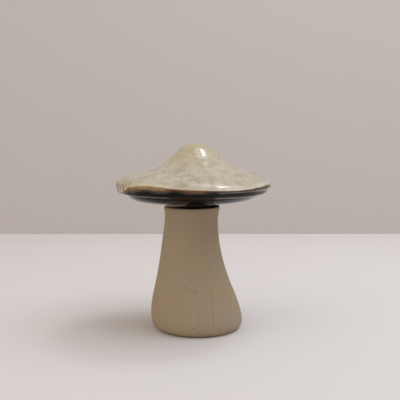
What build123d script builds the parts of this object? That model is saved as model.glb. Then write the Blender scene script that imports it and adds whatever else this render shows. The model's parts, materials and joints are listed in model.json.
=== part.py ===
from build123d import *
from math import cos, pi, radians, sin
import os

# Ceramic mushroom ornament: a hollow glazed cap that sits with a spigot in the mouth of a hollow bare stem.
# Millimetres, +Z up, floor at Z 0, front towards -Y, origin on the floor under the middle of the cap.

# Stem, outside: a circle for the foot, heel, belly, thigh, waist, neck and lip, each with its own lean along X.
# The waist and neck are placed down from the lip.
FOOT_X = 2.0
FOOT_R = 28.8
HEEL_R = 31.2
HEEL_Z = 3.0
BELLY_R = 31.75
BELLY_Z = 9.5
BELLY_LEAN = -0.4
THIGH_R = 25.95
THIGH_Z = 33.0
THIGH_LEAN = -2.6
WAIST_R = 18.7
WAIST_DROP = 15.6
WAIST_LEAN = -4.2
NECK_R = 18.65
NECK_DROP = 3.1
NECK_LEAN = -3.55
LIP_R = 19.7
LIP_LEAN = -3.1
LIP_BEVEL = 0.8
STEM_H = 85.6

# Stem, inside
WALL = 5.0
FLOOR = 7.0
MOUTH_R = 12.8
MOUTH_DEPTH = 14.0
MOUTH_BEVEL = 0.8
POUR_HOLE_R = 9.0
FOOT_RING_W = 6.0
RECESS = 1.5

# Cap, crown: a round tip, a straight flank, a hollow shoulder and a wide brim, each with its own tilt.
# Heights of the cap are rises above the stem's lip.
CAP_H = 44.9
TIP_RADIUS = 12.7
TIP_ANGLE = 43.0
TIP_X = 1.0
SHOULDER_R = 24.5
SHOULDER_RISE = 28.0
SHOULDER_TILT = -1.5
BRIM_R = 36.0
BRIM_RISE = 24.7
BRIM_TILT = -0.8
EDGE_INSET = 7.5
EDGE_RISE = 21.0
EDGE_TILT = 1.0

# Cap, rim: a thick roll at the front left that thins out towards the right
CAP_R = 53.5
RIM_RISE = 14.8
RIM_TILT = 0.6
ROLL_INSET = 2.0
ROLL_UP = 3.2
ROLL_UP_TILT = 1.5
ROLL_DOWN = 2.9
ROLL_DOWN_TILT = -0.6
SWELL_TURN = 15.0

# Cap, underside
UNDER_INSET = 6.5
UNDER_RISE = 8.5
UNDER_TILT = 0.0
HUB_R = 22.0
HUB_RISE = 2.3
HUB_TILT = -3.4

# Cap, inside, seat and spigot
CAP_WALL = 5.0
RIM_WALL = 9.5
SEAT_R = 17.6
SPIGOT_FIT = 0.4
SPIGOT_LEN = 10.0
SPIGOT_WALL = 3.4
SPIGOT_BEVEL = 0.8

# Rings in each loft, with short straight bands between them
STEM_RINGS = 22
HOLLOW_RINGS = 17
CROWN_RINGS = 16
UNDER_RINGS = 10
RIM_CROWD = 0.6

mouth_x = FOOT_X + LIP_LEAN
neck_z = STEM_H - NECK_DROP
waist_z = STEM_H - WAIST_DROP
hub_z = STEM_H + HUB_RISE
under_z = STEM_H + UNDER_RISE
rim_z = STEM_H + RIM_RISE
edge_z = STEM_H + EDGE_RISE
brim_z = STEM_H + BRIM_RISE
shoulder_z = STEM_H + SHOULDER_RISE
cap_top = STEM_H + CAP_H
tip_ring_r = TIP_RADIUS * sin(radians(TIP_ANGLE))
tip_ring_z = cap_top - TIP_RADIUS * (1 - cos(radians(TIP_ANGLE)))
edge_r = CAP_R - EDGE_INSET
roll_r = CAP_R - ROLL_INSET
under_r = CAP_R - UNDER_INSET
drop = CAP_WALL / cos(radians(TIP_ANGLE))


def ring(radius, height, x=0.0, tilt=0.0):
    """A circle of a loft: its centre lies at x, and a positive tilt lifts its left side."""
    frame = Location((x, 0, height), (0, 0, SWELL_TURN)) * Location((0, 0, 0), (0, tilt, 0))
    with BuildSketch(Plane(frame)) as circle:
        Circle(radius)
    return circle.sketch.face()


def between(stops, radius):
    """The value at this radius on the straight lines between the stops, which are pairs of radius and value."""
    stops = sorted(stops)
    for (r0, v0), (r1, v1) in zip(stops, stops[1:]):
        if radius <= r1:
            return v0 + (v1 - v0) * max(radius - r0, 0.0) / (r1 - r0)
    return stops[-1][1]


def spots(profile, count, crowd=0.0):
    """Points along a profile, evenly spaced or, with crowd up to 1, closer together towards its two ends."""
    steps = [i / (count - 1) for i in range(count)]
    return [profile @ (t - crowd * sin(2 * pi * t) / (2 * pi)) for t in steps]


# Stem profiles, outside and inside: radius, height and the place of the middle along X
with BuildLine() as side:
    Spline(
        (FOOT_R, 0, FOOT_X),
        (HEEL_R, HEEL_Z, FOOT_X),
        (BELLY_R, BELLY_Z, FOOT_X + BELLY_LEAN),
        (THIGH_R, THIGH_Z, FOOT_X + THIGH_LEAN),
        (WAIST_R, waist_z, FOOT_X + WAIST_LEAN),
        (NECK_R, neck_z, FOOT_X + NECK_LEAN),
        (LIP_R, STEM_H, mouth_x),
    )
with BuildLine() as hollow:
    Spline(
        (BELLY_R - WALL, FLOOR, FOOT_X + BELLY_LEAN),
        (THIGH_R - WALL, THIGH_Z, FOOT_X + THIGH_LEAN),
        (MOUTH_R, STEM_H - MOUTH_DEPTH, mouth_x),
    )

# Stem
with BuildPart() as stem:
    loft([ring(p.X, p.Y, p.Z) for p in spots(side.line, STEM_RINGS)], ruled=True)
    chamfer(stem.faces().sort_by(Axis.Z)[-1].edges(), length=LIP_BEVEL)
    # Hollow, a wall's thickness inside the belly and thigh and narrowing to the straight mouth
    hollow_rings = [ring(p.X, p.Y, p.Z) for p in spots(hollow.line, HOLLOW_RINGS)]
    loft(hollow_rings, ruled=True, mode=Mode.SUBTRACT)
    with BuildSketch(Plane.XY.offset(STEM_H - MOUTH_DEPTH)):
        with Locations((mouth_x, 0)):
            Circle(MOUTH_R)
    extrude(amount=MOUTH_DEPTH, mode=Mode.SUBTRACT)
    lip_face = stem.faces().filter_by(Plane.XY).sort_by(Axis.Z)[-1]
    chamfer(lip_face.inner_wires().edges(), length=MOUTH_BEVEL)
    # Foot ring and pour hole
    with BuildSketch(Plane.XY):
        with Locations((FOOT_X, 0)):
            Circle(FOOT_R - FOOT_RING_W)
    extrude(amount=RECESS, mode=Mode.SUBTRACT)
    with BuildSketch(Plane.XY):
        with Locations((FOOT_X, 0)):
            Circle(POUR_HOLE_R)
    extrude(amount=FLOOR, mode=Mode.SUBTRACT)
stem.part.label = "stem"

# Cap profiles: radius and height, with the tip's slope at the start and an upright rim
with BuildLine() as crown:
    Spline(
        (tip_ring_r, tip_ring_z),
        (SHOULDER_R, shoulder_z),
        (BRIM_R, brim_z),
        (edge_r, edge_z),
        (roll_r, rim_z + ROLL_UP),
        (CAP_R, rim_z),
        tangents=((cos(radians(TIP_ANGLE)), -sin(radians(TIP_ANGLE))), (0, -1)),
    )
with BuildLine() as underside:
    Spline(
        (CAP_R, rim_z),
        (roll_r, rim_z - ROLL_DOWN),
        (under_r, under_z),
        (HUB_R, hub_z),
        tangents=((0, -1), (HUB_R - under_r, hub_z - under_z)),
    )
crown_tilts = [
    (tip_ring_r, 0),
    (SHOULDER_R, SHOULDER_TILT),
    (BRIM_R, BRIM_TILT),
    (edge_r, EDGE_TILT),
    (roll_r, ROLL_UP_TILT),
    (CAP_R, RIM_TILT),
]
under_tilts = [
    (HUB_R, HUB_TILT),
    (under_r, UNDER_TILT),
    (roll_r, ROLL_DOWN_TILT),
    (CAP_R, RIM_TILT),
]
crown_shifts = [(tip_ring_r, TIP_X), (SHOULDER_R, 0.8 * TIP_X), (edge_r, 0)]
under_shifts = [(HUB_R, mouth_x), (under_r, 0)]

# Cap
with BuildPart() as cap:
    crown_rings = [
        ring(p.X, p.Y, between(crown_shifts, p.X), between(crown_tilts, p.X))
        for p in spots(crown.line, CROWN_RINGS, RIM_CROWD)
    ]
    under_rings = [
        ring(p.X, p.Y, between(under_shifts, p.X), between(under_tilts, p.X))
        for p in spots(underside.line, UNDER_RINGS, RIM_CROWD)
    ]
    loft(crown_rings + under_rings[1:], ruled=True)
    # Tip dome on the flank
    with BuildSketch(Plane(origin=(TIP_X, 0, 0), x_dir=(1, 0, 0), z_dir=(0, -1, 0))):
        with BuildLine():
            base = Line((0, tip_ring_z), (tip_ring_r, tip_ring_z))
            RadiusArc(base @ 1, (0, cap_top), -TIP_RADIUS)
            Line((0, cap_top), base @ 0)
        make_face()
    revolve(axis=Axis((TIP_X, 0, 0), (0, 0, 1)))
    # Seat and spigot
    with BuildSketch(Plane.XY.offset(STEM_H)):
        with Locations((mouth_x, 0)):
            Circle(SEAT_R)
    extrude(amount=hub_z - STEM_H + CAP_WALL / 2)
    with BuildSketch(Plane.XY.offset(STEM_H - SPIGOT_LEN)):
        with Locations((mouth_x, 0)):
            Circle(MOUTH_R - SPIGOT_FIT)
    extrude(amount=SPIGOT_LEN + CAP_WALL / 2)
    spigot_end = cap.faces().sort_by(Axis.Z)[0]
    chamfer(spigot_end.edges(), length=SPIGOT_BEVEL)
    # Cavity, a wall's thickness inside the crown and the underside
    with BuildSketch(Plane.XZ):
        with BuildLine():
            Polyline(
                (0, tip_ring_z - drop),
                (tip_ring_r, tip_ring_z - drop),
                (SHOULDER_R, shoulder_z - drop),
                (BRIM_R, brim_z - CAP_WALL),
                (CAP_R - RIM_WALL, (edge_z + under_z) / 2),
                (HUB_R, hub_z + CAP_WALL),
                (0, hub_z + CAP_WALL),
                close=True,
            )
        make_face()
    revolve(axis=Axis.Z, mode=Mode.SUBTRACT)
    # Vent through the spigot
    with BuildSketch(Plane.XY.offset(STEM_H - SPIGOT_LEN)):
        with Locations((mouth_x, 0)):
            Circle(MOUTH_R - SPIGOT_FIT - SPIGOT_WALL)
    extrude(amount=hub_z + 2 * CAP_WALL - STEM_H + SPIGOT_LEN, mode=Mode.SUBTRACT)
cap.part.label = "cap"

os.makedirs("parts", exist_ok=True)
for piece in (stem, cap):
    export_step(piece.part, "parts/" + piece.part.label + ".step")
    box = piece.part.bounding_box()
    print(piece.part.label, piece.part.is_valid, round(piece.part.volume), box.min, box.max)
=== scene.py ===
"""Looks for the ceramic mushroom ornament: a reactive-glazed cap that sits on a bare stoneware stem.

Lengths are in millimetres unless a name says otherwise. Finished meshes are in metres, in the CAD model's frame:
+Z up, the floor at Z 0, the front towards -Y.
"""

import json
import logging
import math
from dataclasses import dataclass
from enum import Enum, IntEnum
from typing import NamedTuple, Optional, Sequence, Union

import bmesh
import bpy
import numpy as np
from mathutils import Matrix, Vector, noise

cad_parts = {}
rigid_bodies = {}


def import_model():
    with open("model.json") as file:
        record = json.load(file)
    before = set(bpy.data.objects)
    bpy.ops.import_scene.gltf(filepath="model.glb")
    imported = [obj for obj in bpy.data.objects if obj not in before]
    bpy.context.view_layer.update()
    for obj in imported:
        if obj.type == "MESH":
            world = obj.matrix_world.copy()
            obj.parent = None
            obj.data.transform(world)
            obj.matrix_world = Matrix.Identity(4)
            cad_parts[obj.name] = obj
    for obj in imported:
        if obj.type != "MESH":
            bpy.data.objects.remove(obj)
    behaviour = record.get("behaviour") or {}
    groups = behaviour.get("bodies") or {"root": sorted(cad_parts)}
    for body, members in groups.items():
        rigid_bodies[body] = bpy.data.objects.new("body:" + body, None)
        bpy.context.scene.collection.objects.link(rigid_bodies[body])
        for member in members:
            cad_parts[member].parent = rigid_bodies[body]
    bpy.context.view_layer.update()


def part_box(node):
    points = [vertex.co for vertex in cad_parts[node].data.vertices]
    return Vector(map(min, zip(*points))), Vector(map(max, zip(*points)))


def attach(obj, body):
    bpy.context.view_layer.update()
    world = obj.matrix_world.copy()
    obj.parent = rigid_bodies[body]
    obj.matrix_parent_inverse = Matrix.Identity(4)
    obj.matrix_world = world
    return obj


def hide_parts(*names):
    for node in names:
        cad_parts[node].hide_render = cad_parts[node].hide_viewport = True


LOG = logging.getLogger("mushroom")
MM = 0.001
SAME_POINT = 1e-4
FULL_TURN = 360

Setting = Union[float, Sequence[float], bpy.types.NodeSocket]
# Pairs of azimuth, in degrees from the right and on by the back, and value
RimStops = tuple[tuple[float, float], ...]


class Body(Enum):
    """The bodies of the CAD model, which are also its nodes."""

    STEM = "stem"
    CAP = "cap"


class Coat(IntEnum):
    """The cap's finishes, in the order of its material slots: three glazes, then near-black clay painted as shade
    round the seat, and bare clay.
    """

    REACTIVE = 0
    THIN = 1
    POOLED = 2
    # Near-black clay, painted shade round the seat
    BURNT = 3
    BARE = 4


class Slot(Enum):
    """The record's material slots."""

    CLAY = "bare_stoneware"
    GLAZE = "reactive_glaze"


class Ring(NamedTuple):
    """A circle of a spun form: its radius and height, its middle along X, and the degrees that its left is lifted."""

    radius: float
    height: float
    shift: float = 0.0
    tilt: float = 0.0


def linear(colour: str) -> tuple[float, float, float, float]:
    """Turn an sRGB hex colour into linear light.

    Args:
        colour: Six hex digits after a hash sign.

    Returns:
        Red, green and blue in linear light, then an alpha of 1.
    """
    parts = [int(colour[i : i + 2], 16) / 255 for i in (1, 3, 5)]
    red, green, blue = (c / 12.92 if c <= 0.04045 else ((c + 0.055) / 1.055) ** 2.4 for c in parts)
    return (red, green, blue, 1.0)


def per_metre(size: float) -> float:
    """Give the texture scale at which a pattern on metres has features of this many millimetres."""
    return 1.0 / (size * MM)


def put(
    tree: bpy.types.NodeTree,
    kind: str,
    inputs: Optional[dict[Union[str, int], Setting]] = None,
    stops: Sequence[tuple[float, str]] = (),
    **settings: object,
) -> bpy.types.Node:
    """Add a node with its settings and links.

    Args:
        tree: The node tree that gets it.
        kind: The node's type name.
        inputs: Values or output sockets for its input sockets, by name or place.
        stops: Places and hex colours for a colour ramp.
        settings: The node's own properties.

    Returns:
        The new node.
    """
    node = tree.nodes.new(kind)
    for name, value in settings.items():
        setattr(node, name, value)
    for key, value in (inputs or {}).items():
        if isinstance(value, bpy.types.NodeSocket):
            tree.links.new(value, node.inputs[key])
        else:
            node.inputs[key].default_value = value
    for i, (place, colour) in enumerate(stops):
        elements = node.color_ramp.elements
        stop = elements[i] if i < 2 else elements.new(place)
        stop.position, stop.color = place, linear(colour)
    return node


def flow(
    stops: Sequence[Ring],
    start: Optional[tuple[float, float]] = None,
    end: Optional[tuple[float, float]] = None,
    pitch: float = 0.8,
) -> list[Ring]:
    """Draw the smooth line through a few rings, as a potter's template would run.

    Args:
        stops: The rings that it passes through.
        start: Its direction in radius and height at the first ring, or None to leave that end free.
        end: Its direction at the last ring, or None.
        pitch: The distance between the rings of the result.

    Returns:
        Rings along the line, the first and last stops included.
    """
    points = np.array(stops, float)
    last = len(points) - 1
    spans = np.linalg.norm(np.diff(points[:, :2], axis=0), axis=1)
    rates = np.diff(points, axis=0) / spans[:, None]
    matrix, sides = 2.0 * np.eye(last + 1), np.zeros_like(points)
    for i in range(1, last):
        before, after = spans[i - 1], spans[i]
        matrix[i, i - 1 : i + 2] = after, 2 * (before + after), before
        sides[i] = 3 * (after * rates[i - 1] + before * rates[i])
    for row, inner, rate, way in ((0, 1, rates[0], start), (last, last - 1, rates[-1], end)):
        if way is None:
            matrix[row, inner] = 1
            sides[row] = 3 * rate
        else:
            sides[row] = 2 * rate
            sides[row, :2] = 2 * np.array(way) / math.hypot(*way)
    slopes = np.linalg.solve(matrix, sides)
    line = []
    for i, span in enumerate(spans):
        parts = max(2, round(span / pitch))
        for t in np.arange(parts) / parts:
            ease = t * t * (3 - 2 * t)
            bend = span * t * (1 - t) * ((1 - t) * slopes[i] - t * slopes[i + 1])
            line.append(Ring(*(points[i] + (points[i + 1] - points[i]) * ease + bend)))
    return line + [Ring(*points[last])]


def straight(rings: Sequence[Ring], pitch: float = 3.0) -> list[Ring]:
    """Run straight lines through rings, cut into bands.

    Args:
        rings: The corners of the line.
        pitch: The longest band.

    Returns:
        The corners, with rings between them where a line is longer than the pitch.
    """
    line = []
    for a, b in zip(rings, rings[1:]):
        parts = max(1, math.ceil(math.dist(a[:2], b[:2]) / pitch))
        line += [Ring(*(p + (q - p) * k / parts for p, q in zip(a, b))) for k in range(parts)]
    return line + [rings[-1]]


def round_the_rim(stops: RimStops, azimuth: float) -> float:
    """Read a value that changes round the rim.

    Args:
        stops: The azimuths and values, in rising order of azimuth.
        azimuth: Where to read it, in degrees.

    Returns:
        The value, eased between the stops on either side.
    """
    turn = azimuth % FULL_TURN
    loop = [(stops[-1][0] - FULL_TURN, stops[-1][1]), *stops, (stops[0][0] + FULL_TURN, stops[0][1])]
    for (a, low), (b, high) in zip(loop, loop[1:]):
        if a <= turn <= b:
            t = (turn - a) / (b - a)
            return low + (high - low) * t * t * (3 - 2 * t)
    return stops[0][1]


@dataclass
class SpunForm:
    """A clay form turned from a line of rings, each moved along X and tilted as it came out of the kiln."""

    rings: Sequence[Ring]
    steps: int
    closed: bool
    tilt_from: float = 0.0
    crease: float = math.radians(35)

    def turn(self) -> tuple[bmesh.types.BMesh, bmesh.types.BMLayerItem]:
        """Spin the line into a closed form and set its rings in place.

        Returns:
            The form in millimetres, and the layer that holds each vertex's place in the line of rings.
        """
        form = bmesh.new()
        place = form.verts.layers.int.new("place")
        line = [form.verts.new((ring.radius, 0, ring.height)) for ring in self.rings]
        for i, vertex in enumerate(line):
            vertex[place] = i
        pairs = list(zip(line, line[1:])) + ([(line[-1], line[0])] if self.closed else [])
        edges = [form.edges.new(pair) for pair in pairs]
        bmesh.ops.spin(
            form,
            geom=line + edges,
            axis=(0, 0, 1),
            cent=(0, 0, 0),
            angle=2 * math.pi,
            steps=self.steps,
            use_merge=True,
        )
        bmesh.ops.remove_doubles(form, verts=form.verts, dist=SAME_POINT)
        bmesh.ops.recalc_face_normals(form, faces=form.faces)
        for vertex in form.verts:
            ring = self.rings[vertex[place]]
            azimuth = math.atan2(vertex.co.y, vertex.co.x)
            lift = math.sin(math.radians(ring.tilt)) * math.cos(azimuth - math.radians(self.tilt_from))
            vertex.co.z -= ring.radius * lift
            vertex.co.x += ring.shift
        return form, place

    def finish(self, form: bmesh.types.BMesh, name: str) -> bpy.types.Object:
        """Shade the form, turn it to metres and make it an object.

        Args:
            form: What turn() gave, with any further shaping.
            name: The object's name.

        Returns:
            The object, at the origin.
        """
        form.normal_update()
        for face in form.faces:
            face.smooth = True
        for edge in form.edges:
            edge.smooth = edge.calc_face_angle(0.0) < self.crease
        bmesh.ops.scale(form, vec=(MM, MM, MM), verts=form.verts)
        mesh = bpy.data.meshes.new(name)
        form.to_mesh(mesh)
        form.free()
        piece = bpy.data.objects.new(name, mesh)
        bpy.context.scene.collection.objects.link(piece)
        return piece


@dataclass(frozen=True)
class ReactiveGlaze:
    """Reactive stoneware glaze: thick cream, fired glossy, that breaks to tan, rust and black over the rim."""

    cream: str = "#B7AC94"
    pale: str = "#BEB49F"
    sage: str = "#9C937B"
    straw: str = "#B2A278"
    # The paler strip just above the edge, partly a painted highlight
    lip: str = "#D2C8B2"
    tan: str = "#A0864F"
    crease: str = "#6B4C22"
    rust: str = "#764419"
    umber: str = "#371F13"
    soot: str = "#080706"
    # Sizes of the cloud, the specks, the streaks, the ripples and the orange peel
    mottle: float = 5.0
    speck: float = 2.4
    streak: float = 1.3
    ripple: float = 2.7
    peel: float = 6.0
    peel_depth: float = 0.2
    # How far the specks, the straw colour and the paler lip cover the cream
    speck_cover: float = 0.65
    straw_cover: float = 0.75
    lip_cover: float = 0.6
    straw_from: float = 112.0
    straw_to: float = 131.0
    # The ripples' slant, in radians, and how far the streaks are drawn out downwards
    ripple_slant: float = -0.9
    streak_draw: float = 4.0
    # How far the streaks sway the cream's edge, the burn and its heat, as shares of the burnt band's width
    edge_sway: float = 0.7
    burn_sway: float = 1.2
    heat_sway: float = 1.6
    roughness: float = 0.12
    ior: float = 1.5

    def material(self) -> bpy.types.Material:
        """Make the glaze: soft cream cloud and sage specks under a wet gloss, and a streaky burnt edge.

        Returns:
            The material.
        """
        material = bpy.data.materials.new("reactive_stoneware_glaze")
        material.use_nodes = True
        tree = material.node_tree
        tree.nodes.clear()
        place = put(tree, "ShaderNodeTexCoord").outputs["Object"]
        height = put(tree, "ShaderNodeSeparateXYZ", {0: place}).outputs["Z"]
        # The cap's own marks: how far the cream has faded, the heat and the ripples, and two places in millimetres
        marks, run, drift = (
            put(tree, "ShaderNodeAttribute", attribute_name=name).outputs["Vector"]
            for name in ("marks", "run", "drift")
        )
        fade, heat, ripple = put(tree, "ShaderNodeSeparateXYZ", {0: marks}).outputs
        # Cloud and specks of the cream coat
        cloud = put(
            tree, "ShaderNodeTexNoise",
            {"Vector": drift, "Scale": 1.0 / self.mottle, "Detail": 2.5, "Roughness": 0.55},
        )
        coat = put(
            tree, "ShaderNodeValToRGB", {0: cloud.outputs[0]},
            stops=((0.28, self.sage), (0.74, self.pale), (0.50, self.cream)),
        )
        grain = put(tree, "ShaderNodeTexNoise", {"Vector": drift, "Scale": 1.0 / self.speck, "Detail": 1.0})
        specks = put(tree, "ShaderNodeMapRange", {0: grain.outputs[0], 1: 0.54, 2: 0.66, 4: self.speck_cover})
        # Yellower towards the tip, and paler just above its edge: partly paler glaze and partly a painted highlight
        # along the edge
        rise = put(
            tree, "ShaderNodeMapRange",
            {0: height, 1: self.straw_from * MM, 2: self.straw_to * MM, 4: self.straw_cover},
        )
        edge_glaze_and_highlight = put(tree, "ShaderNodeMapRange", {0: fade, 1: 1.3, 2: 0.3, 4: self.lip_cover})
        # Ripples, where the cream has crept over itself at the left
        slant = put(tree, "ShaderNodeMapping", {0: run, 2: (self.ripple_slant, 0.0, 0.0)})
        # A wave texture of scale 1 repeats every pi / 10
        wave = put(
            tree, "ShaderNodeTexWave",
            {"Vector": slant.outputs[0], "Scale": math.pi / 10 / self.ripple, "Distortion": 0.6},
            bands_direction="Y",
        )
        lines = put(tree, "ShaderNodeMapRange", {0: wave.outputs[1], 1: 0.5, 2: 0.9})
        inked = put(tree, "ShaderNodeMath", {0: lines.outputs[0], 1: ripple}, operation="MULTIPLY")
        cream = coat.outputs[0]
        for cover, tone in ((specks, self.sage), (rise, self.straw), (edge_glaze_and_highlight, self.lip), (inked, self.crease)):
            over = {0: cover.outputs[0], 6: cream, 7: linear(tone)}
            cream = put(tree, "ShaderNodeMix", over, data_type="RGBA").outputs[2]
        # Burnt edge, where the glaze has run thin in streaks
        drawn = put(tree, "ShaderNodeMapping", {0: run, 3: (1.0, 1.0, 1.0 / self.streak_draw)})
        streaks = put(
            tree, "ShaderNodeTexNoise",
            {"Vector": drawn.outputs[0], "Scale": 1.0 / self.streak, "Detail": 3.0, "Roughness": 0.6},
        )
        sway = put(tree, "ShaderNodeMath", {0: streaks.outputs[0], 1: 0.5}, operation="SUBTRACT").outputs[0]
        edge, depth, scorch = (
            put(tree, "ShaderNodeMath", {0: sway, 1: amount, 2: level}, operation="MULTIPLY_ADD").outputs[0]
            for level, amount in ((fade, self.edge_sway), (fade, self.burn_sway), (heat, self.heat_sway))
        )
        tint = put(
            tree, "ShaderNodeValToRGB", {0: scorch},
            stops=((0.0, self.tan), (1.0, self.umber), (0.5, self.rust)),
        )
        burn = put(tree, "ShaderNodeMapRange", {0: depth, 1: -1.4, 2: -0.3})
        band = put(
            tree, "ShaderNodeMix", {0: burn.outputs[0], 6: linear(self.soot), 7: tint.outputs[0]}, data_type="RGBA"
        )
        coated = put(tree, "ShaderNodeMapRange", {0: edge, 1: -0.12, 2: 0.18})
        colour = put(
            tree, "ShaderNodeMix", {0: coated.outputs[0], 6: band.outputs[2], 7: cream}, data_type="RGBA"
        )
        # Faint orange peel of the gloss
        peel = put(tree, "ShaderNodeTexNoise", {"Vector": place, "Scale": per_metre(self.peel), "Detail": 1.0})
        bump = put(
            tree, "ShaderNodeBump", {"Strength": 0.3, "Distance": self.peel_depth * MM, "Height": peel.outputs[0]}
        )
        shader = put(
            tree, "ShaderNodeBsdfPrincipled",
            {
                "Base Color": colour.outputs[2],
                "Roughness": self.roughness,
                "IOR": self.ior,
                "Normal": bump.outputs[0],
            },
        )
        put(tree, "ShaderNodeOutputMaterial", {0: shader.outputs[0]})
        return material


@dataclass(frozen=True)
class EvenCoat:
    """A coat of one colour, with no pattern."""

    name: str
    colour: str
    roughness: float
    shine: float

    def material(self) -> bpy.types.Material:
        """Make the coat.

        Returns:
            The material.
        """
        material = bpy.data.materials.new(self.name)
        material.use_nodes = True
        shader = material.node_tree.nodes["Principled BSDF"]
        shader.inputs["Base Color"].default_value = linear(self.colour)
        shader.inputs["Roughness"].default_value = self.roughness
        shader.inputs["Specular IOR Level"].default_value = self.shine
        return material


@dataclass(frozen=True)
class IronGlaze(EvenCoat):
    """Iron-black glaze that the cream leaves bare: near black, with a shine that grows where it is seen edge-on."""

    name: str = "iron_black_glaze"
    colour: str = "#080706"
    roughness: float = 0.16
    shine: float = 0.13


@dataclass(frozen=True)
class MattPaint(EvenCoat):
    """Matt paint of the studio's floor and backdrop: flat and even, with no gloss."""

    roughness: float = 0.9
    shine: float = 0.1


@dataclass(frozen=True)
class BareStoneware:
    """Bare stoneware: unglazed taupe clay, sponged and fired, matt with faint upright wipe marks and a few specks."""

    name: str = "bare_stoneware"
    clay: str = "#9C896E"
    warm: str = "#9D8A6B"
    grey: str = "#9A8973"
    # The speck colour also paints the shade in the pits
    speck: str = "#5C4C3A"
    roughness: float = 0.82
    shine: float = 0.5
    blotch: float = 20.0
    # The wipe marks of the sponge, and how much lighter or darker they are
    wipe: float = 1.6
    wipe_length: float = 24.0
    wipe_shade: float = 0.045
    grit: float = 0.7
    grit_depth: float = 0.15
    # Iron specks: few of the cells that the spacing gives hold one
    speck_spacing: float = 7.0
    speck_size: float = 0.55
    speck_cover: float = 0.8
    speck_rarity: float = 0.7
    # Painted shade: three dark spots where pits on the front lie in shade
    pit_shade_spots: tuple[tuple[float, float, float], ...] = ((-4.8, -25.6, 33.4), (1.2, -26.6, 30.5), (0.3, -31.7, 7.2))
    pit_size: float = 0.9
    pit_shade_cover: float = 0.6
    # The mould's seam, upright and a little slanted: where it would cross the floor, its slant, half width and ends
    seam_x: float = 14.3
    seam_slant: float = 0.077
    seam_width: float = 0.6
    seam_low: float = 6.0
    seam_high: float = 36.0
    seam_cover: float = 0.12

    def material(self) -> bpy.types.Material:
        """Make the clay: a dry taupe that shifts a little from warm to grey, with an iron speck here and there.

        Returns:
            The material.
        """
        material = bpy.data.materials.new(self.name)
        material.use_nodes = True
        tree = material.node_tree
        tree.nodes.clear()
        place = put(tree, "ShaderNodeTexCoord").outputs["Object"]
        cloud = put(
            tree, "ShaderNodeTexNoise", {"Vector": place, "Scale": per_metre(self.blotch), "Detail": 3.0}
        )
        body = put(
            tree, "ShaderNodeValToRGB", {0: cloud.outputs[0]},
            stops=((0.32, self.warm), (0.68, self.grey), (0.50, self.clay)),
        )
        drawn = put(tree, "ShaderNodeMapping", {0: place, 3: (1.0, 1.0, self.wipe / self.wipe_length)})
        wipes = put(
            tree, "ShaderNodeTexNoise", {"Vector": drawn.outputs[0], "Scale": per_metre(self.wipe), "Detail": 2.0}
        )
        shade = put(
            tree, "ShaderNodeMapRange",
            {0: wipes.outputs[0], 1: 0.25, 2: 0.75, 3: 1.0 - self.wipe_shade, 4: 1.0 + self.wipe_shade},
        )
        wiped = put(
            tree, "ShaderNodeMix", {0: 1.0, 6: body.outputs[0], 7: shade.outputs[0]},
            data_type="RGBA", blend_type="MULTIPLY",
        )
        # Specks
        cells = put(tree, "ShaderNodeTexVoronoi", {"Vector": place, "Scale": per_metre(self.speck_spacing)})
        reach = self.speck_size / self.speck_spacing
        near = put(
            tree, "ShaderNodeMapRange",
            {0: cells.outputs["Distance"], 1: 0.5 * reach, 2: reach, 3: self.speck_cover, 4: 0.0},
        )
        pick = put(tree, "ShaderNodeSeparateXYZ", {0: cells.outputs["Color"]})
        rare = put(tree, "ShaderNodeMath", {0: pick.outputs[0], 1: self.speck_rarity}, operation="GREATER_THAN")
        speck = put(tree, "ShaderNodeMath", {0: near.outputs[0], 1: rare.outputs[0]}, operation="MULTIPLY")
        specks_seam_and_pit_shade = [speck.outputs[0]]
        # Painted shade of the pits
        for pit in self.pit_shade_spots:
            gap = put(tree, "ShaderNodeVectorMath", {0: place, 1: tuple(Vector(pit) * MM)}, operation="DISTANCE")
            pit_shade = put(
                tree, "ShaderNodeMapRange",
                {
                    0: gap.outputs["Value"],
                    1: 0.4 * self.pit_size * MM,
                    2: self.pit_size * MM,
                    3: self.pit_shade_cover,
                    4: 0.0,
                },
            )
            specks_seam_and_pit_shade.append(pit_shade.outputs[0])
        # Seam
        across = put(
            tree, "ShaderNodeVectorMath", {0: place, 1: (1.0, 0.0, self.seam_slant)}, operation="DOT_PRODUCT"
        )
        beside = put(
            tree, "ShaderNodeMath",
            {0: across.outputs["Value"], 1: self.seam_x * MM, 2: self.seam_width * MM},
            operation="COMPARE",
        )
        middle, half = (self.seam_high + self.seam_low) / 2, (self.seam_high - self.seam_low) / 2
        height = put(tree, "ShaderNodeSeparateXYZ", {0: place}).outputs["Z"]
        level = put(tree, "ShaderNodeMath", {0: height, 1: middle * MM, 2: half * MM}, operation="COMPARE")
        seam = put(tree, "ShaderNodeMath", {0: beside.outputs[0], 1: level.outputs[0]}, operation="MULTIPLY")
        faint = put(tree, "ShaderNodeMath", {0: seam.outputs[0], 1: self.seam_cover}, operation="MULTIPLY")
        specks_seam_and_pit_shade.append(faint.outputs[0])
        dark = specks_seam_and_pit_shade[0]
        for flaw in specks_seam_and_pit_shade[1:]:
            dark = put(tree, "ShaderNodeMath", {0: dark, 1: flaw}, operation="MAXIMUM").outputs[0]
        colour = put(
            tree, "ShaderNodeMix", {0: dark, 6: wiped.outputs[2], 7: linear(self.speck)}, data_type="RGBA"
        )
        # Grit
        grit = put(tree, "ShaderNodeTexNoise", {"Vector": place, "Scale": per_metre(self.grit), "Detail": 2.0})
        bump = put(
            tree, "ShaderNodeBump", {"Strength": 0.25, "Distance": self.grit_depth * MM, "Height": grit.outputs[0]}
        )
        shader = put(
            tree, "ShaderNodeBsdfPrincipled",
            {
                "Base Color": colour.outputs[2],
                "Roughness": self.roughness,
                "Specular IOR Level": self.shine,
                "Normal": bump.outputs[0],
            },
        )
        put(tree, "ShaderNodeOutputMaterial", {0: shader.outputs[0]})
        return material


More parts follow.
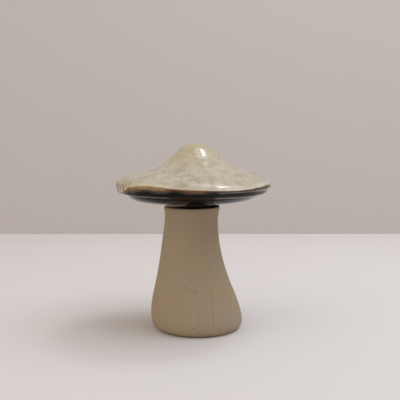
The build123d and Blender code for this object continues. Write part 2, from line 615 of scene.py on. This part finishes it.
@dataclass
class Stem:
    """The hollow stem: a broad belly on a flat foot, drawn up to a neck and a flared lip that holds the cap.

    Each ring of the outside has its radius, its height or its drop below the lip, and its lean along X.
    """

    height: float
    middle: float = 2.0
    foot: float = 28.3
    foot_lean: float = 1.2
    heel: float = 30.9
    heel_z: float = 3.0
    heel_lean: float = 0.7
    belly: float = 31.75
    belly_z: float = 9.5
    belly_lean: float = -0.15
    thigh: float = 25.95
    thigh_z: float = 33.0
    thigh_lean: float = -2.6
    waist: float = 18.9
    waist_drop: float = 15.6
    waist_lean: float = -3.85
    neck: float = 18.95
    neck_drop: float = 3.1
    neck_lean: float = -3.25
    lip: float = 19.7
    lip_lean: float = -3.1
    lip_round: float = 0.8
    foot_round: float = 1.0
    wall: float = 5.0
    floor: float = 7.0
    mouth: float = 12.8
    mouth_depth: float = 14.0
    pour_hole: float = 9.0
    foot_ring: float = 6.0
    recess: float = 1.5
    # How far apart the rings lie, outside and in the hollow, and how many columns go round
    pitch: float = 1.2
    hollow_pitch: float = 3.0
    steps: int = 192

    @property
    def mouth_x(self) -> float:
        """Where the mouth's middle lies along X."""
        return self.middle + self.lip_lean

    def outline(self) -> list[Ring]:
        """Draw the stem's closed line, up the outside, in at the lip and down the hollow.

        Returns:
            The rings along the line.
        """
        x, top = self.middle, self.height
        side = flow(
            [
                Ring(self.foot, 0.0, x + self.foot_lean),
                Ring(self.heel, self.heel_z, x + self.heel_lean),
                Ring(self.belly, self.belly_z, x + self.belly_lean),
                Ring(self.thigh, self.thigh_z, x + self.thigh_lean),
                Ring(self.waist, top - self.waist_drop, x + self.waist_lean),
                Ring(self.neck, top - self.neck_drop, x + self.neck_lean),
                Ring(self.lip, top, self.mouth_x),
            ],
            pitch=self.pitch,
        )
        kept = [ring for ring in side if self.foot_round <= ring.height <= top - self.lip_round]
        inner = flow(
            [
                Ring(self.mouth, top - self.mouth_depth, self.mouth_x),
                Ring(self.thigh - self.wall, self.thigh_z, x + self.thigh_lean),
                Ring(self.belly - self.wall, self.floor, x + self.belly_lean),
            ],
            pitch=self.hollow_pitch,
        )
        # The two rounded corners of the lip, each with a ring half way round
        lip, soft = kept[-1].radius, self.lip_round
        halfway = 0.3 * soft
        mouth = [
            Ring(lip - halfway, top - halfway, self.mouth_x),
            Ring(lip - soft, top, self.mouth_x),
            Ring(self.mouth + soft, top, self.mouth_x),
            Ring(self.mouth + halfway, top - halfway, self.mouth_x),
            Ring(self.mouth, top - soft, self.mouth_x),
        ]
        base = [
            Ring(self.pour_hole, self.floor, x),
            Ring(self.pour_hole, self.recess, x),
            Ring(self.foot - self.foot_ring, self.recess, x),
            Ring(self.foot - self.foot_ring, 0.0, x),
            Ring(self.foot - self.foot_round, 0.0, x + self.foot_lean),
        ]
        return kept + straight(mouth) + inner + straight(base)

    def build(self, clay: bpy.types.Material) -> bpy.types.Object:
        """Make the stem, dress it in bare clay and set it on its body.

        Args:
            clay: The bare stoneware.

        Returns:
            The stem's object.
        """
        form = SpunForm(self.outline(), self.steps, closed=True)
        mesh, _ = form.turn()
        piece = form.finish(mesh, "stem_body")
        piece.data.materials.append(clay)
        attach(piece, Body.STEM.value)
        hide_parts(Body.STEM.value)
        return piece


@dataclass
class Cap:
    """The hollow cap: a round tip on a steep flank, a wide brim, a rolled rim and a dark underside with a spigot.

    Rises are heights above the seat, insets are measured in from the rim, and a tilt lifts a ring's left side.
    """

    seat_z: float
    radius: float
    top: float
    spigot_end: float
    seat_x: float
    tip: float = 17.2
    tip_angle: float = 41.9
    tip_x: float = 1.3
    tip_sink: float = 0.9
    shoulder: float = 24.3
    shoulder_rise: float = 29.0
    shoulder_x: float = 1.85
    shoulder_tilt: float = -1.3
    brim: float = 36.0
    brim_rise: float = 24.8
    brim_x: float = 1.2
    brim_tilt: float = -0.8
    edge_inset: float = 7.5
    edge_rise: float = 21.5
    edge_tilt: float = 0.3
    rim_rise: float = 14.8
    rim_tilt: float = 0.6
    roll_inset: float = 2.0
    roll_up: float = 3.6
    roll_up_tilt: float = 0.7
    under_rise: float = 8.5
    hub: float = 22.0
    hub_rise: float = 1.9
    hub_tilt: float = -3.0
    collar: float = 20.8
    collar_rise: float = 2.0
    collar_tilt: float = -0.6
    seat: float = 17.6
    spigot: float = 12.4
    spigot_round: float = 0.8
    vent: float = 9.0
    wall: float = 5.0
    rim_wall: float = 9.5
    tilt_from: float = 15.0
    # How far apart the rings lie, above and below the rim, how many bands the tip has and how many columns go round
    pitch: float = 0.45
    under_pitch: float = 0.4
    tip_bands: int = 24
    steps: int = 240
    # How many widths of the burnt band below the cream the glaze is plain black
    black_below: float = -1.4
    # Inside which radius the black glaze has pooled
    pooled: float = 44.5
    # How far the cream's cloud is stretched outwards on the brim
    stretch: float = 0.5
    # Up to which height above the rim's equator the cream has rippled, and over which depth the ripples fade in
    ripple_top: float = 3.143
    ripple_depth: float = 2.857
    # The glaze's lumps
    lump: float = 0.08
    lump_size: float = 11.0
    # The bead along the rim: its height above the equator, its width above and below that, and how sharp its top is
    bead_at: float = -0.3
    bead_upper: float = 2.8
    bead_lower: float = 0.9
    bead_power: float = 1.3
    # The drop of glaze on the front of the tip: its height, azimuth, distance down from the top and width
    drop: float = 0.8
    drop_turn: float = 291.0
    drop_down: float = 26.2
    drop_width: float = 5.5
    # Below the rim, over the roll, a ledge, a step and a cone: inset, rise, place along X and tilt
    folds: tuple[tuple[float, float, float, float], ...] = (
        (1.5, 11.9, 0.0, -1.6),
        (3.4, 10.3, 0.0, 0.1),
        (6.8, 9.3, 0.0, 0.2),
        (10.5, 6.5, -1.0, 0.0),
        (19.5, 3.9, -0.5, -1.0),
    )
    # Round the rim: how far above its equator the cream glaze ends
    cream_end: RimStops = (
        (30, 0.8),
        (90, 0.8),
        (150, 1.0),
        (181, 3.4),
        (193, 3.0),
        (198, -1.4),
        (203, -2.5),
        (208, -2.0),
        (213, -0.8),
        (220, 0.8),
        (229, 2.0),
        (238, 2.6),
        (246, 2.0),
        (256, 1.25),
        (266, 0.8),
        (276, 0.5),
        (286, 0.2),
        (300, 0.1),
        (310, 0.4),
        (324, 1.2),
        (338, 2.1),
        (352, 2.2),
    )
    # The width of the burnt band below it
    band_width: RimStops = (
        (30, 1.2),
        (150, 1.2),
        (206, 0.8),
        (215, 1.2),
        (226, 2.2),
        (248, 2.5),
        (259, 1.0),
        (269, 1.9),
        (277, 1.8),
        (283, 0.9),
        (302, 0.8),
        (314, 1.6),
        (328, 3.6),
        (350, 3.6),
    )
    # The height of the bead where the cream has stopped
    bead: RimStops = ((0, 0.0), (276, 0.0), (288, 1.9), (305, 1.9), (324, 0.3), (346, 0.0))
    # How far the band is burnt, from tan at 0 to umber at 1
    heat: RimStops = (
        (30, 0.9),
        (150, 0.6),
        (192, 0.85),
        (206, 0.4),
        (230, 0.1),
        (243, 0.2),
        (250, 0.3),
        (258, 0.7),
        (269, 0.5),
        (276, 0.5),
        (282, 0.9),
        (318, 0.85),
        (340, 0.95),
    )
    # Under the cap: out to which radius the clay round the seat is painted near black, as painted shade of the gap at
    # the seat and of the dark patch in front of it
    painted_shade: RimStops = (
        (0, 24.0),
        (236, 24.5),
        (247, 27.0),
        (258, 33.0),
        (268, 44.2),
        (276, 44.4),
        (284, 40.0),
        (291, 30.0),
        (302, 25.0),
    )
    # How strongly the cream has rippled
    ripple: RimStops = ((186, 0.0), (197, 0.8), (214, 0.8), (221, 0.0))

    def crown(self) -> list[Ring]:
        """Draw the crown, from the middle of the tip to the rim.

        Returns:
            The rings along the line.
        """
        angle, base, r = math.radians(self.tip_angle), self.seat_z, self.radius
        swing = [angle * i / self.tip_bands for i in range(self.tip_bands + 1)]
        peak = self.top - self.tip_sink
        dome = [Ring(self.tip * math.sin(a), peak - self.tip * (1 - math.cos(a)), self.tip_x) for a in swing]
        side = flow(
            [
                dome[-1],
                Ring(self.shoulder, base + self.shoulder_rise, self.shoulder_x, self.shoulder_tilt),
                Ring(self.brim, base + self.brim_rise, self.brim_x, self.brim_tilt),
                Ring(r - self.edge_inset, base + self.edge_rise, 0.0, self.edge_tilt),
                Ring(r - self.roll_inset, base + self.rim_rise + self.roll_up, 0.0, self.roll_up_tilt),
                Ring(r, base + self.rim_rise, 0.0, self.rim_tilt),
            ],
            start=(math.cos(angle), -math.sin(angle)),
            end=(0, -1),
            pitch=self.pitch,
        )
        return dome[:-1] + side

    def underside(self) -> list[Ring]:
        """Draw the underside, from the rim over the roll, a ledge and a step to the hub, and on to the seat.

        Returns:
            The rings along the line.
        """
        base, r = self.seat_z, self.radius
        folds = [Ring(r - inset, base + rise, shift, tilt) for inset, rise, shift, tilt in self.folds]
        hub = Ring(self.hub, base + self.hub_rise, self.seat_x, self.hub_tilt)
        line = flow(
            [Ring(r, base + self.rim_rise, 0.0, self.rim_tilt), *folds, hub],
            start=(0, -1),
            end=(hub.radius - folds[-1].radius, hub.height - folds[-1].height),
            pitch=self.under_pitch,
        )
        collar = Ring(self.collar, base + self.collar_rise, self.seat_x, self.collar_tilt)
        return line + [collar, Ring(self.seat, base, self.seat_x)]

    def inside(self) -> list[Ring]:
        """Draw the inside, from the spigot up the vent and round the cavity.

        Returns:
            The rings along the line.
        """
        base, x, soft = self.seat_z, self.seat_x, self.spigot_round
        hub_z, end = base + self.hub_rise, self.spigot_end
        drop = self.wall / math.cos(math.radians(self.tip_angle))
        tip_r = self.tip * math.sin(math.radians(self.tip_angle))
        tip_z = self.top - self.tip * (1 - math.cos(math.radians(self.tip_angle)))
        spigot = [
            Ring(self.spigot, base, x),
            Ring(self.spigot, end + soft, x),
            Ring(self.spigot - soft, end, x),
            Ring(self.vent, end, x),
            Ring(self.vent, hub_z + self.wall, x),
        ]
        cavity = [
            Ring(self.hub, hub_z + self.wall),
            Ring(self.radius - self.rim_wall, base + (self.edge_rise + self.under_rise) / 2),
            Ring(self.brim, base + self.brim_rise - self.wall),
            Ring(self.shoulder, base + self.shoulder_rise - drop),
            Ring(tip_r, tip_z - drop),
            Ring(0.0, tip_z - drop),
        ]
        return straight(spigot) + straight(cavity)

    def glaze_marks(
        self, mesh: bmesh.types.BMesh, place: bmesh.types.BMLayerItem, rings: Sequence[Ring], rim: int
    ) -> None:
        """Mark where the cream ends and the glaze has run, and raise the coat's lumps, its bead and its drop.

        Args:
            mesh: The turned cap, in millimetres.
            place: The layer with each vertex's place in the line of rings.
            rings: The glazed part of that line, which ends with the seat's two rings.
            rim: The place of the rim's equator in it.
        """
        marks = mesh.verts.layers.float_vector.new("marks")
        run = mesh.verts.layers.float_vector.new("run")
        drift = mesh.verts.layers.float_vector.new("drift")
        bands = [math.dist(a[:2], b[:2]) for a, b in zip(rings, rings[1:])]
        along = np.concatenate(([0.0], np.cumsum(bands)))
        seat = len(rings) - 2
        mesh.normal_update()
        moves = []
        for vertex in (v for v in mesh.verts if v[place] < len(rings)):
            radius, down = rings[vertex[place]].radius, float(along[vertex[place]])
            azimuth = math.atan2(vertex.co.y, vertex.co.x)
            turn = math.degrees(azimuth)
            above = float(along[rim]) - down
            fade = (above - round_the_rim(self.cream_end, turn)) / round_the_rim(self.band_width, turn)
            low = min(max((self.ripple_top - above) / self.ripple_depth, 0.0), 1.0)
            vertex[marks] = (fade, round_the_rim(self.heat, turn), round_the_rim(self.ripple, turn) * low)
            vertex[run] = (self.radius * math.cos(azimuth), self.radius * math.sin(azimuth), above)
            pull = 1.0 - self.stretch * (1.0 - self.shoulder / max(radius, self.shoulder))
            vertex[drift] = (pull * vertex.co.x, pull * vertex.co.y, vertex.co.z)
            coat = self.lump * (noise.noise(vertex.co / self.lump_size) - 1)
            off = above - self.bead_at
            spread = self.bead_upper if off > 0 else self.bead_lower
            coat += round_the_rim(self.bead, turn) * math.exp(-((abs(off) / spread) ** self.bead_power))
            if above > 0:
                aside = math.radians(turn % FULL_TURN - self.drop_turn) * radius
                away = math.hypot(aside, down - self.drop_down)
                coat += self.drop * math.exp(-((away / self.drop_width) ** 2))
            if vertex[place] < seat:
                moves.append((vertex, vertex.normal * coat))
        for vertex, move in moves:
            vertex.co += move

    def build(self, coats: dict[Coat, bpy.types.Material]) -> bpy.types.Object:
        """Make the cap, glaze it outside, paint the clay round its seat near black as painted shade, leave its inside
        bare, and set it on its body.

        Args:
            coats: The material of each finish.

        Returns:
            The cap's object.
        """
        crown = self.crown()
        glazed = crown + self.underside()[1:]
        rings = glazed + self.inside()
        form = SpunForm(rings, self.steps, closed=False, tilt_from=self.tilt_from)
        mesh, place = form.turn()
        self.glaze_marks(mesh, place, glazed, len(crown) - 1)
        marks = mesh.verts.layers.float_vector["marks"]
        for face in mesh.faces:
            first = min(vertex[place] for vertex in face.verts)
            radius, middle = rings[first].radius, face.calc_center_median()
            turn = math.degrees(math.atan2(middle.y, middle.x))
            if first >= len(glazed) - 1:
                coat = Coat.BARE
            # Painted shade: near-black clay round the seat and in front of it, out to the listed radius
            elif first >= len(crown) and radius < round_the_rim(self.painted_shade, turn):
                coat = Coat.BURNT
            elif first >= len(crown) and radius < self.pooled:
                coat = Coat.POOLED
            elif max(vertex[marks].x for vertex in face.verts) < self.black_below:
                coat = Coat.THIN
            else:
                coat = Coat.REACTIVE
            face.material_index = coat
        piece = form.finish(mesh, "cap_shell")
        for coat in Coat:
            piece.data.materials.append(coats[coat])
        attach(piece, Body.CAP.value)
        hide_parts(Body.CAP.value)
        return piece


@dataclass(frozen=True)
class Lamp:
    """A softbox: the way to it from the object, its distance and width, its power and its colour."""

    name: str
    way: tuple[float, float, float]
    distance: float
    width: float
    watts: float
    colour: str = "#FFFFFF"

    def hang(self, aim: Vector) -> bpy.types.Object:
        """Hang the softbox so that it faces a point.

        Args:
            aim: The point, in millimetres.

        Returns:
            The lamp's object.
        """
        light = bpy.data.lights.new(self.name, "AREA")
        light.shape = "DISK"
        light.size = self.width * MM
        light.energy = self.watts
        light.color = linear(self.colour)[:3]
        lamp = bpy.data.objects.new(self.name, light)
        bpy.context.scene.collection.objects.link(lamp)
        way = Vector(self.way).normalized()
        lamp.location = (aim + way * self.distance) * MM
        lamp.rotation_mode = "QUATERNION"
        lamp.rotation_quaternion = way.to_track_quat("Z", "Y")
        return lamp


@dataclass
class Studio:
    """A pale table in front of a plain wall, soft light from the upper right, and the camera."""

    aim: tuple[float, float, float] = (0.0, 0.0, 100.0)
    wall_y: float = 432.0
    reach: float = 1600.0
    table: MattPaint = MattPaint("table_paint", "#D8D2CC")
    wall: MattPaint = MattPaint("wall_paint", "#C2BCB6")
    sky: str = "#E7E4E1"
    sky_strength: float = 0.95
    lamps: tuple[Lamp, ...] = (
        Lamp("window_glint", (0.33, 0.18, 0.927), 900.0, 180.0, 0.75),
        Lamp("window_softbox", (0.44, -0.02, 0.90), 1000.0, 1050.0, 6.4, "#DEE8FF"),
        Lamp("left_bounce", (-0.85, -0.45, 0.10), 1200.0, 900.0, 2.6, "#FFE8CC"),
    )
    eye: tuple[float, float, float] = (4.48, -470.8, 137.8)
    look_down: float = 5.82
    lens: float = 61.2
    sensor: float = 36.0

    def build(self) -> None:
        """Make the table, the wall, the light and the camera."""
        scene = bpy.context.scene
        scene.view_settings.view_transform = "Standard"
        for paint, turn, place in (
            (self.table, 0.0, (0.0, self.wall_y - self.reach, 0.0)),
            (self.wall, math.pi / 2, (0.0, self.wall_y, self.reach)),
        ):
            sheet = bmesh.new()
            bmesh.ops.create_grid(sheet, x_segments=1, y_segments=1, size=self.reach * MM)
            mesh = bpy.data.meshes.new(paint.name)
            sheet.to_mesh(mesh)
            sheet.free()
            mesh.materials.append(paint.material())
            board = bpy.data.objects.new(paint.name, mesh)
            board.location = Vector(place) * MM
            board.rotation_euler.x = turn
            scene.collection.objects.link(board)
        world = bpy.data.worlds.new("studio_air")
        world.use_nodes = True
        air = world.node_tree.nodes["Background"]
        air.inputs["Color"].default_value = linear(self.sky)
        air.inputs["Strength"].default_value = self.sky_strength
        scene.world = world
        for lamp in self.lamps:
            lamp.hang(Vector(self.aim))
        camera = bpy.data.cameras.new("photo_camera")
        camera.lens, camera.sensor_width = self.lens, self.sensor
        eye = bpy.data.objects.new("photo_camera", camera)
        eye.location = Vector(self.eye) * MM
        eye.rotation_euler.x = math.radians(90 - self.look_down)
        scene.collection.objects.link(eye)
        scene.camera = eye


def main() -> None:
    """Build the ornament on its CAD frame and light it, logging the frame's size."""
    logging.basicConfig(level=logging.INFO, format="%(name)s: %(message)s")
    for leftover in list(bpy.data.objects):
        bpy.data.objects.remove(leftover)
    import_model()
    stem_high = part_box(Body.STEM.value)[1] / MM
    cap_low, cap_high = (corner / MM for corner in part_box(Body.CAP.value))
    LOG.info("frame: stem %.1f mm tall, cap %.1f mm across", stem_high.z, cap_high.x - cap_low.x)
    clay = BareStoneware().material()
    # A near-black copy of the clay, painted as the shade round the seat
    painted_shade = BareStoneware("painted_shade_clay", clay="#0C0806", warm="#0E0907", grey="#0A0706", shine=0.05)
    coats = {
        Coat.REACTIVE: ReactiveGlaze().material(),
        Coat.THIN: IronGlaze().material(),
        Coat.POOLED: IronGlaze("pooled_black_glaze", roughness=0.1, shine=0.5).material(),
        Coat.BURNT: painted_shade.material(),
        Coat.BARE: clay,
    }
    stem = Stem(height=stem_high.z)
    LOG.info("built %s", stem.build(clay).name)
    cap = Cap(
        seat_z=stem_high.z,
        radius=(cap_high.x - cap_low.x) / 2,
        top=cap_high.z,
        spigot_end=cap_low.z,
        seat_x=stem.mouth_x,
    )
    LOG.info("built %s", cap.build(coats).name)
    Studio().build()


if __name__ == "__main__":
    main()
